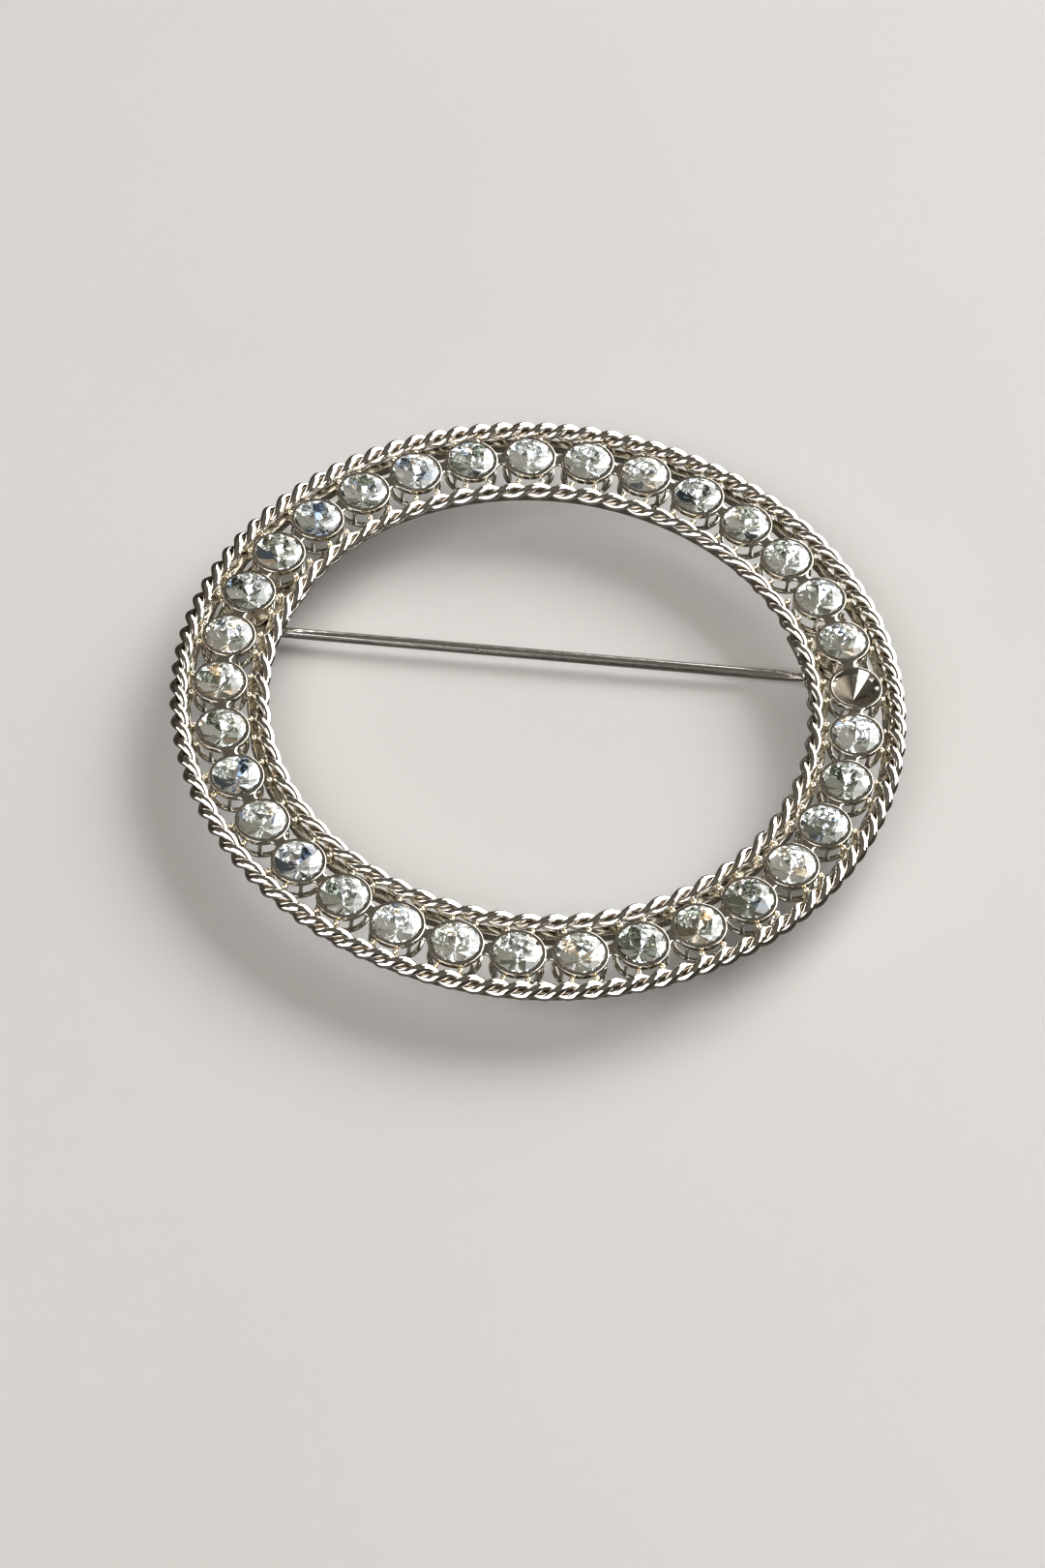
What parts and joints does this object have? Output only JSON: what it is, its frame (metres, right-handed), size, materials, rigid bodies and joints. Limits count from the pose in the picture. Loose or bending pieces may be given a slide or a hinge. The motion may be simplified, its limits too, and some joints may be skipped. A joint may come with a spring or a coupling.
{
  "type": "brooch",
  "caption": "Round open brooch: foiled clear stones in a ring between two twisted wire ropes, with a hinged pin across the back and a turning safety catch.",
  "frame": {"origin": "on the ring's axis, at the lowest point of the pin findings on the back", "axes": "+Z is the ring's axis and points out of the stones' faces; +Y is towards the edge nearest the pin, the top when worn; the pin points along +X from its hinge to its catch"},
  "size_m": [0.0612, 0.0612, 0.006],
  "materials": {
    "plated_metal": "bright pale white-gold plating over brass, polished",
    "finding_metal": "pale plating over brass, rolled and lightly brushed",
    "pin_steel": "drawn spring steel wire, polished",
    "stone_glass": "clear faceted glass with a silver foil back"
  },
  "bodies": {
    "frame": {"outer_rope_strand_a": "plated_metal", "outer_rope_strand_b": "plated_metal", "inner_rope_strand_a": "plated_metal", "inner_rope_strand_b": "plated_metal", "outer_rail": "plated_metal", "inner_rail": "plated_metal", "setting_cups": "plated_metal", "gallery_rings": "plated_metal", "gallery_posts": "plated_metal", "cup_bridges": "plated_metal", "outer_posts": "plated_metal", "inner_posts": "plated_metal", "hinge_plate": "finding_metal", "catch_plate": "finding_metal", "hinge_bracket": "finding_metal", "catch_housing": "finding_metal", "hinge_rivet": "pin_steel", "stone_01": "stone_glass", "stone_02": "stone_glass", "stone_03": "stone_glass", "stone_04": "stone_glass", "stone_05": "stone_glass", "stone_06": "stone_glass", "stone_07": "stone_glass", "stone_08": "stone_glass", "stone_09": "stone_glass", "stone_10": "stone_glass", "stone_11": "stone_glass", "stone_12": "stone_glass", "stone_13": "stone_glass", "stone_14": "stone_glass", "stone_15": "stone_glass", "stone_16": "stone_glass", "stone_17": "stone_glass", "stone_18": "stone_glass", "stone_19": "stone_glass", "stone_20": "stone_glass", "stone_21": "stone_glass", "stone_22": "stone_glass", "stone_23": "stone_glass", "stone_24": "stone_glass", "stone_25": "stone_glass", "stone_26": "stone_glass", "stone_27": "stone_glass", "stone_28": "stone_glass", "stone_29": "stone_glass", "stone_30": "stone_glass", "stone_31": "stone_glass", "stone_32": "stone_glass"},
    "pin": {"pin_stem": "pin_steel"},
    "safety_rotor": {"safety_rotor": "finding_metal"}
  },
  "joints": [
    {"name": "pin_hinge", "type": "hinge", "parent": "frame", "child": "pin", "pos_m": [-0.0251, 0.008, 0.0011], "axis": [0, 1, 0], "range_deg": [0, 100]},
    {"name": "safety_turn", "type": "hinge", "parent": "frame", "child": "safety_rotor", "pos_m": [0.0247, 0.008, 0.0011], "axis": [-1, 0, 0], "range_deg": [0, 170]}
  ]
}
